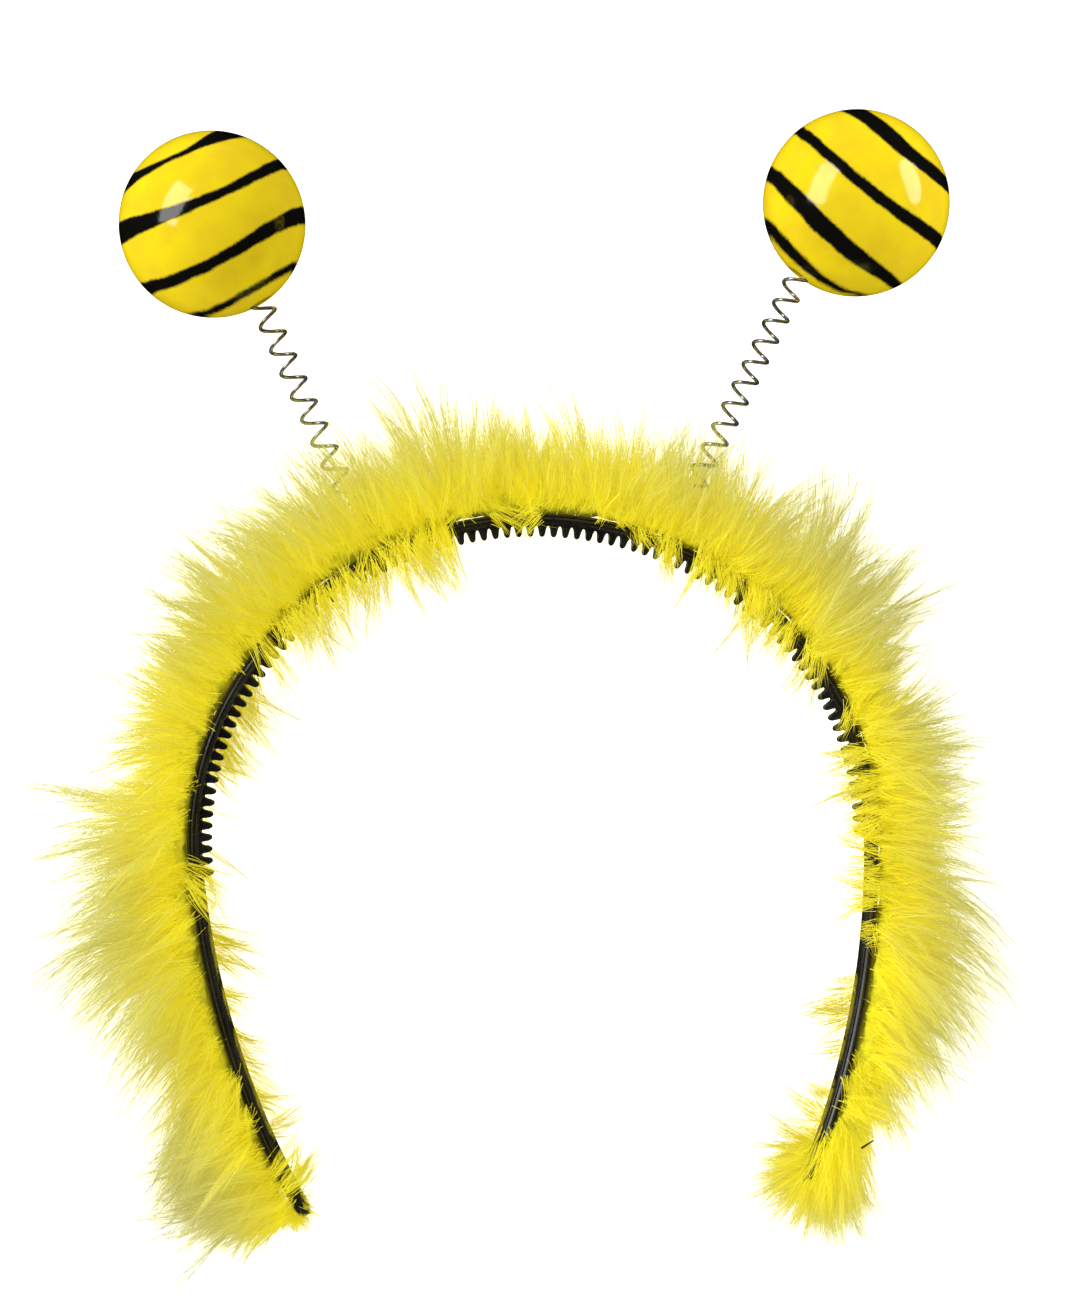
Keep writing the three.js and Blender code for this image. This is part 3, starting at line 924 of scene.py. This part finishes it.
def plume_set(settings, low, high, rng):
    """Plumes of one stretch of the trim: root, direction, side, bend, length, breadth and tone"""
    count = round(settings.plumes * (high - low) / 2)
    order = np.arange(count)
    share = low + (high - low) * (order + rng.uniform(0.1, 0.9, count)) / count
    station = share * HALF_LENGTH
    _, sweep = reach_and_sweep(share)
    drift = 0.16 * np.sin(station * 0.31 + 0.6) + 0.13 * np.sin(station * 0.74 + 2.1)
    sweep = sweep + drift + rng.normal(0, 0.12, count)
    # a swept plume reaches as far out as the trim does where its tip comes down
    reach, _ = reach_and_sweep(share)
    for _ in range(2):
        shift = np.sign(share) * reach * 0.8 * np.tan(sweep)
        reach, _ = reach_and_sweep(np.clip((station + shift) / HALF_LENGTH, -1, 1))
    # golden steps spread the rises evenly, with no rows of equal ones
    golden = (order * 0.618034 + rng.uniform(0, 0.08, count)) % 1
    rise = np.radians(80 * (2 * golden - 1))
    over = np.sin(rise)[:, None]
    point, outward, along = arch_at(station)
    tipward = along * np.sign(share)[:, None]
    direction = outward * np.cos(rise)[:, None] + UP * over
    root = point + outward * (2.9 + 1.6 * np.cos(rise))[:, None] + UP * over * 3.8
    droop = rng.uniform(0.3, 0.8, count)[:, None] * over**2
    bend = np.tan(sweep)[:, None] * tipward * (0.5 + 0.5 * np.cos(rise))[:, None]
    bend = bend + droop * (outward - 0.8 * UP * over)
    layer = np.array((1.0, 0.72, 0.9, 0.5))[order % 4]
    swell = 1 + 0.09 * np.sin(station * 0.47 + 1.3) + 0.07 * np.sin(station * 1.13)
    length = TRIM_FILL * (reach - 3.0) * swell * layer * rng.uniform(0.86, 1.12, count)
    length = length * (1 - 0.2 * over[:, 0] ** 2)
    # none hangs far past the arm's end
    room = np.maximum(HALF_LENGTH + np.where(share < 0, -2.0, 9.0) - np.abs(station), 2)
    length = length * np.minimum(1, room / np.maximum(length * np.tan(sweep), 0.1))
    roll = rng.normal(0, 0.5, count)[:, None]
    side = unit(along - direction * np.sum(along * direction, -1, keepdims=True))
    side = side * np.cos(roll) + np.cross(direction, side) * np.sin(roll)
    breadth = rng.uniform(2.6, 4.6, count)
    tone = rng.uniform(0.25, 0.75, count)
    return root, direction, side, bend, length, breadth, tone


def fluff_set(low, high, rng):
    """Short down that rises off the band's front and back edges and falls outwards"""
    count = round(FLUFF_PLUMES * (high - low) / 2)
    share = low + (high - low) * (np.arange(count) + rng.uniform(0, 1, count)) / count
    point, outward, along = arch_at(share * HALF_LENGTH)
    front = np.where(np.arange(count) % 3 < 2, 1.0, -1.0)[:, None]
    rise = rng.uniform(0.3, 0.8, count)[:, None]
    direction = outward * np.cos(rise) + UP * front * np.sin(rise)
    tipward = along * np.sign(share)[:, None]
    direction = unit(direction + tipward * rng.normal(0.2, 0.2, count)[:, None])
    root = point + outward * rng.uniform(2.4, 3.2, count)[:, None] + UP * front * 3.9
    bend = outward * 0.4 - UP * front * 0.35
    length = rng.uniform(8, 14, count)
    side = unit(along + rng.normal(0, 0.25, (count, 3)))
    tone = rng.uniform(0.5, 1.0, count)
    return root, direction, side, bend, length, rng.uniform(1.4, 2.4, count), tone


def end_set(low, high, rng):
    """Plumes that hang off the arms' ends"""
    shares = [row[0] / HALF_LENGTH for row in END_PLUMES]
    rows = [row for row, k in zip(END_PLUMES, shares) if low <= k < high or k == high]
    table = np.array([row for row in rows for _ in range(2)], float).reshape(-1, 4)
    count = len(table)
    station = np.clip(table[:, 0] + rng.normal(0, 1.0, count), -HALF_LENGTH, HALF_LENGTH)
    point, outward, along = arch_at(station)
    tipward = along * np.sign(station)[:, None]
    turn = np.radians(table[:, 1] + rng.normal(0, 6, count))[:, None]
    rise = np.radians(table[:, 2] + rng.normal(0, 8, count))[:, None]
    flat = tipward * np.cos(turn) + outward * np.sin(turn)
    direction = flat * np.cos(rise) + UP * np.sin(rise)
    root = point + outward * 3.2 + UP * np.sin(rise) * 5
    length = table[:, 3] * rng.uniform(0.8, 1.05, count)
    side = unit(np.cross(direction, UP) + rng.normal(0, 0.2, (count, 3)))
    tone = rng.uniform(0.2, 0.7, count)
    return root, direction, side, tipward * 0.12, length, rng.uniform(2.0, 3.4, count), tone


def tuft_set(low, high, rng):
    """Short tufts that reach inwards over the band's front and back edges"""
    rows = [r for r in TUFTS if low <= r[0] / HALF_LENGTH < high]
    rows = [row for row in rows for _ in range(max(1, round(2.8 * row[4])))]
    table = np.array(rows, float).reshape(-1, 5)
    count = len(table)
    station = table[:, 0] + rng.normal(0, 1.6, count)
    point, outward, along = arch_at(np.clip(station, -HALF_LENGTH, HALF_LENGTH))
    lean = np.radians(table[:, 3] + rng.normal(0, 10, count))[:, None]
    direction = -outward * np.cos(lean) + along * np.sin(lean)
    root = point + outward * rng.uniform(2.8, 4.8, count)[:, None]
    root[:, 2] += table[:, 1] * rng.uniform(0.85, 1.25, count)
    length = (table[:, 2] + 5.5) * rng.uniform(0.75, 1.3, count)
    side = unit(np.cross(direction, UP) + rng.normal(0, 0.2, (count, 3)))
    drop = -np.sign(table[:, 1])[:, None] * UP * 0.18
    tone = rng.uniform(0.0, 0.45, count)
    return root, direction, side, drop + 0 * direction, length, rng.uniform(0.8, 1.8, count), tone


def strands_of(plumes, locks, strands, rng):
    """Centre lines of the strands, five points from root to tip, and each strand's own tone"""
    root, direction, side, bend, length, breadth, tone = plumes
    shape = (len(root), locks)

    def each(values):
        return values[:, None] if values.ndim == 1 else values[:, None, :]

    # a plume's locks fan out from its root, the outer ones shorter
    across = 2 * (np.arange(locks) + rng.uniform(0.1, 0.9, shape)) / locks - 1
    depth = rng.normal(0, 0.45, shape)
    normal = np.cross(direction, side)
    fan = np.tan(np.radians(17) * across + rng.normal(0, 0.07, shape))
    tilt = np.tan(np.radians(15) * depth + rng.normal(0, 0.07, shape))
    way = unit(each(direction) + each(side) * fan[..., None] + each(normal) * tilt[..., None])
    size = each(length) * (1 - 0.28 * across**2) * rng.uniform(0.7, 1.04, shape)
    size = np.where(rng.random(shape) < 0.1, size * 1.22, size)
    begun = rng.uniform(0.0, 0.25, shape) * size
    foot = each(root) + each(side) * (across * each(breadth) * 0.8)[..., None]
    foot = foot + each(normal) * (depth * each(breadth) * 0.6)[..., None]
    foot = foot + each(direction) * begun[..., None]
    size = size - begun
    curve = each(bend) + each(side) * rng.normal(0, 0.17, (*shape, 1))
    curve = curve + each(normal) * rng.normal(0, 0.14, (*shape, 1))
    phase = rng.uniform(0, 2 * math.pi, (*shape, 1, 1, 1))
    swing = rng.uniform(0.02, 0.07, (*shape, 1, 1, 1))

    # a lock's strands start apart and draw together towards its tip
    share = np.linspace(0, 1, 5).reshape(1, 1, 1, 5, 1)
    thick = (*shape, strands, 1, 1)
    loose = rng.uniform(0.6, 1.5, thick)
    stray = rng.random(thick) < 0.14
    gather = np.where(stray, 1.1, 1.05 - 0.8 * share) * loose
    offset = rng.normal(0, 0.62, (*shape, strands, 1, 3))
    apart = rng.normal(0, 1, (*shape, strands, 1, 3)) * np.where(stray, 0.13, 0.03)
    slide = rng.uniform(0.0, 0.16, thick)
    cut = rng.uniform(0.42, 1.0, thick) * np.where(stray, 1.1, 1.0)
    step = share * cut
    long = size[..., None, None, None]
    path = way[:, :, None, None] * (step + slide) + curve[:, :, None, None] * step**2
    path = path + each(side)[:, :, None, None] * (np.sin(5.0 * step + phase) * swing * step)
    points = foot[:, :, None, None] + path * long
    points = points + offset * gather + apart * long * step**2
    own = np.clip(each(tone)[..., None] + rng.normal(0, 0.18, (*shape, strands)), 0.28, 1)
    own = np.where(stray[..., 0, 0], 0.0, own)
    return points.reshape(-1, 5, 3), own.reshape(-1)


def within_room(points, rng):
    """Strands that would pass the trim's outermost reach are shorter, each to its own length"""
    root = points[:, :1]
    ease = rng.uniform(0, 5, (len(points), 1, 1))
    low, high = TRIM_ROOM[0] + ease, TRIM_ROOM[1] - ease
    step = points - root
    with np.errstate(divide="ignore", invalid="ignore"):
        share = np.where(step > 0, (high - root) / step, np.where(step < 0, (low - root) / step, 9))
    share = np.clip(np.min(share, axis=(1, 2), keepdims=True), 0.1, 1)
    return root + step * share


def lying_above(points, floor=0.12, ease=5.0):
    """Down that would hang below the surface lies along it instead"""
    z = points[..., 2]
    soft = floor + ease * np.exp((z - floor - ease) / ease)
    points[..., 2] = np.where(z < floor + ease, np.maximum(soft, floor), z)
    return points


def ribbon_mesh(name, points, own, width, rng):
    """Joined mesh of tapered ribbons along the strands"""
    count, rows, _ = points.shape
    way = unit(np.diff(points, axis=1))
    way = np.concatenate((way, way[:, -1:]), 1)
    roll = unit(rng.normal(0, 1, (count, 1, 3)))
    flat = unit(np.cross(way, roll))
    taper = np.array((1.0, 1.0, 0.86, 0.52))
    half = (width / 2) * taper[None, :, None] * rng.uniform(0.6, 1.25, (count, 1, 1))
    body = points[:, : rows - 1]
    left = body - flat[:, : rows - 1] * half
    right = body + flat[:, : rows - 1] * half
    pairs = np.stack((left, right), 2).reshape(count, -1, 3)
    verts = np.concatenate((pairs, points[:, -1:]), 1)
    verts[..., 2] = np.maximum(verts[..., 2], 0.02)
    per = verts.shape[1]
    quads = np.array([(2 * k, 2 * k + 1, 2 * k + 3, 2 * k + 2) for k in range(rows - 2)])
    last = 2 * (rows - 2)
    base = (np.arange(count) * per)[:, None]
    loops = np.concatenate(
        (quads.reshape(1, -1) + base, np.array([[last, last + 1, last + 2]]) + base), 1
    )
    sizes = np.tile(np.array([4] * (rows - 2) + [3]), count)
    starts = np.concatenate(([0], np.cumsum(sizes)[:-1]))

    mesh = bpy.data.meshes.new(name)
    mesh.vertices.add(count * per)
    mesh.vertices.foreach_set("co", (verts * MM).astype(np.float32).ravel())
    mesh.loops.add(loops.size)
    mesh.loops.foreach_set("vertex_index", loops.astype(np.int32).ravel())
    mesh.polygons.add(len(sizes))
    mesh.polygons.foreach_set("loop_start", starts.astype(np.int32))
    mesh.polygons.foreach_set("loop_total", sizes.astype(np.int32))
    mesh.update(calc_edges=True)

    off = away_from_band(points.reshape(-1, 3)).reshape(count, rows)
    off = np.concatenate((np.repeat(off[:, :-1], 2, 1), off[:, -1:]), 1).ravel()
    tone = np.repeat(own, per)
    uv = mesh.uv_layers.new(name="strand")
    ids = loops.ravel()
    uv.data.foreach_set("uv", np.stack((off[ids], tone[ids]), -1).astype(np.float32).ravel())
    mesh.shade_smooth()
    return mesh


def away_from_band(points):
    """Share from the band's outer face to the outer tips of the down, for each point"""
    stations = np.linspace(-HALF_LENGTH, HALF_LENGTH, 110)
    spine, outward, _ = arch_at(stations)
    spine = spine + outward * BAND_THICKNESS
    pace = np.interp(stations / HALF_LENGTH, *np.transpose(TRIM_FADE))
    share = np.empty(len(points))
    for k in range(0, len(points), 50000):
        some = points[k : k + 50000]
        apart = np.linalg.norm(some[:, None, :2] - spine[None, :, :2], axis=-1)
        nearest = np.argmin(apart, axis=1)
        flat = apart[np.arange(len(some)), nearest]
        rise = np.maximum(np.abs(some[:, 2] - ARCH_ORIGIN[2]) - BAND_WIDTH / 2, 0)
        share[k : k + 50000] = pace[nearest] * np.hypot(flat, 0.55 * rise) / PALE_WAY
    return np.clip(share, 0, 1.2)


def felted_core():
    """Lumpy cord of matted down along the band's outer face"""
    bm = bmesh.new()
    end = HALF_LENGTH - CORE_SETBACK
    point, outward, _ = arch_at(-end)
    middle, height, depth = CORE_SECTION
    turns = np.linspace(0, 2 * math.pi, 20, endpoint=False)
    ring = [
        point + outward * (middle + height * math.cos(t)) + UP * (depth * math.sin(t))
        for t in turns
    ]
    edges = ring_of(bm, ring)
    bmesh.ops.contextual_create(bm, geom=edges)
    profile = spun_through_arcs(bm, edges, -end, end, 260)
    bmesh.ops.contextual_create(bm, geom=profile)
    closed_mesh(bm, 0.005)
    bm.normal_update()
    for vert in bm.verts:
        lump = noise.noise(vert.co * 0.35) * 1.1 + noise.noise(vert.co * 1.1) * 0.5
        vert.co += vert.normal * lump
    shade_smooth(bm, math.pi)
    return bm


class BuildTrim(bpy.types.Operator):
    """Make the down trim: a felted core, and the plumes and tufts of strands around it"""

    bl_idname = "headband.build_trim"
    bl_label = "Feather trim"

    def execute(self, context):
        settings = context.scene.headband.trim
        down = down_material("yellow_down_painted_glow", settings.down, settings.tips)
        for number, (name, low, high) in enumerate(TRIM_PIECES):
            rng = np.random.default_rng(FIRST_SEED + number)
            sets = (
                (plume_set(settings, low, high, rng), settings.locks),
                (end_set(low, high, rng), settings.locks),
                (fluff_set(low, high, rng), FLUFF_LOCKS),
                (tuft_set(low, high, rng), TUFT_LOCKS),
            )
            lines, own = zip(*(strands_of(*given, settings.strands, rng) for given in sets))
            lines = lying_above(within_room(np.concatenate(lines), rng))
            own = np.concatenate(own)
            mesh = ribbon_mesh(name, lines, own, settings.strand / MM, rng)
            finish_piece(name, mesh, "band", "yellow_feather", down, "feather_trim")
        bm = bmesh.new()
        add_rod(bm, QUILL_ROOT, QUILL_TIP, 12, *QUILL_RADII)
        shade_smooth(bm)
        rest = ("band", "yellow_feather")
        piece_from("trim_quill", bm, *rest, brown_quill(), "feather_trim")
        felt = felted_down_painted_shade_glow(settings.down)
        piece_from("trim_core", felted_core(), *rest, felt, "feather_trim")
        return {"FINISHED"}


# Stage


class BuildStage(bpy.types.Operator):
    """Lay the pale floor, hang the soft lights and set the camera above the headband"""

    bl_idname = "headband.build_stage"
    bl_label = "Stage"

    def execute(self, context):
        scene = context.scene
        bm = bmesh.new()
        bmesh.ops.create_grid(bm, x_segments=1, y_segments=1, size=3.0)
        floor = linked_object("floor", mesh_from("floor", bm))
        floor.data.materials.append(pale_floor())
        floor.visible_glossy = False

        world = bpy.data.worlds.new("studio")
        scene.world = world
        world.use_nodes = True
        sky = world.node_tree.nodes["Background"]
        sky.inputs["Color"].default_value = (1, 1, 1, 1)
        sky.inputs["Strength"].default_value = 0.72
        world.cycles_visibility.glossy = False

        for name, values in SOFTBOXES.items():
            self.softbox(name, *values)
        lit = bpy.data.collections.new("lit_by_right_softbox")
        scene.objects["right_softbox"].light_linking.receiver_collection = lit

        view = bpy.data.cameras.new("camera")
        view.lens = 102
        view.sensor_width = 36
        camera = linked_object("camera", view)
        camera.location = CAMERA_PLACE
        camera.rotation_euler = (0, 0, CAMERA_ROLL)
        scene.camera = camera
        scene.view_settings.view_transform = "Standard"
        return {"FINISHED"}

    def softbox(self, name, shape, way, distance, size, power, aim):
        light = bpy.data.lights.new(name, "AREA")
        light.shape = shape
        light.size, light.size_y = size
        light.energy = power
        box = linked_object(name, light)
        direction = Vector(way).normalized()
        box.location = direction * distance + Vector(aim)
        box.rotation_euler = direction.to_track_quat("Z", "Y").to_euler()


class HeadbandPanel(bpy.types.Panel):
    """Lists the headband's pieces and their sizes and colours"""

    bl_idname = "VIEW3D_PT_headband"
    bl_label = "Headband"
    bl_space_type = "VIEW_3D"
    bl_region_type = "UI"
    bl_category = "Headband"

    def draw(self, context):
        settings = context.scene.headband
        for operator, group in (
            (BuildBand, settings.band),
            (BuildSprings, settings.springs),
            (BuildBalls, settings.balls),
            (BuildTrim, settings.trim),
            (BuildStage, None),
        ):
            box = self.layout.box()
            box.operator(operator.bl_idname)
            for key in group.__annotations__ if group else ():
                box.prop(group, key)


CLASSES = (
    HeadbandBandSettings,
    HeadbandSpringSettings,
    HeadbandBallSettings,
    HeadbandTrimSettings,
    HeadbandSettings,
    BuildBand,
    BuildSprings,
    BuildBalls,
    BuildTrim,
    BuildStage,
    HeadbandPanel,
)


def register():
    for cls in CLASSES:
        bpy.utils.register_class(cls)
    bpy.types.Scene.headband = PointerProperty(type=HeadbandSettings)


def unregister():
    del bpy.types.Scene.headband
    for cls in reversed(CLASSES):
        bpy.utils.unregister_class(cls)


def main():
    register()
    bpy.ops.headband.build_stage()
    bpy.ops.headband.build_band()
    bpy.ops.headband.build_springs()
    bpy.ops.headband.build_balls()
    bpy.ops.headband.build_trim()


if __name__ == "__main__":
    main()
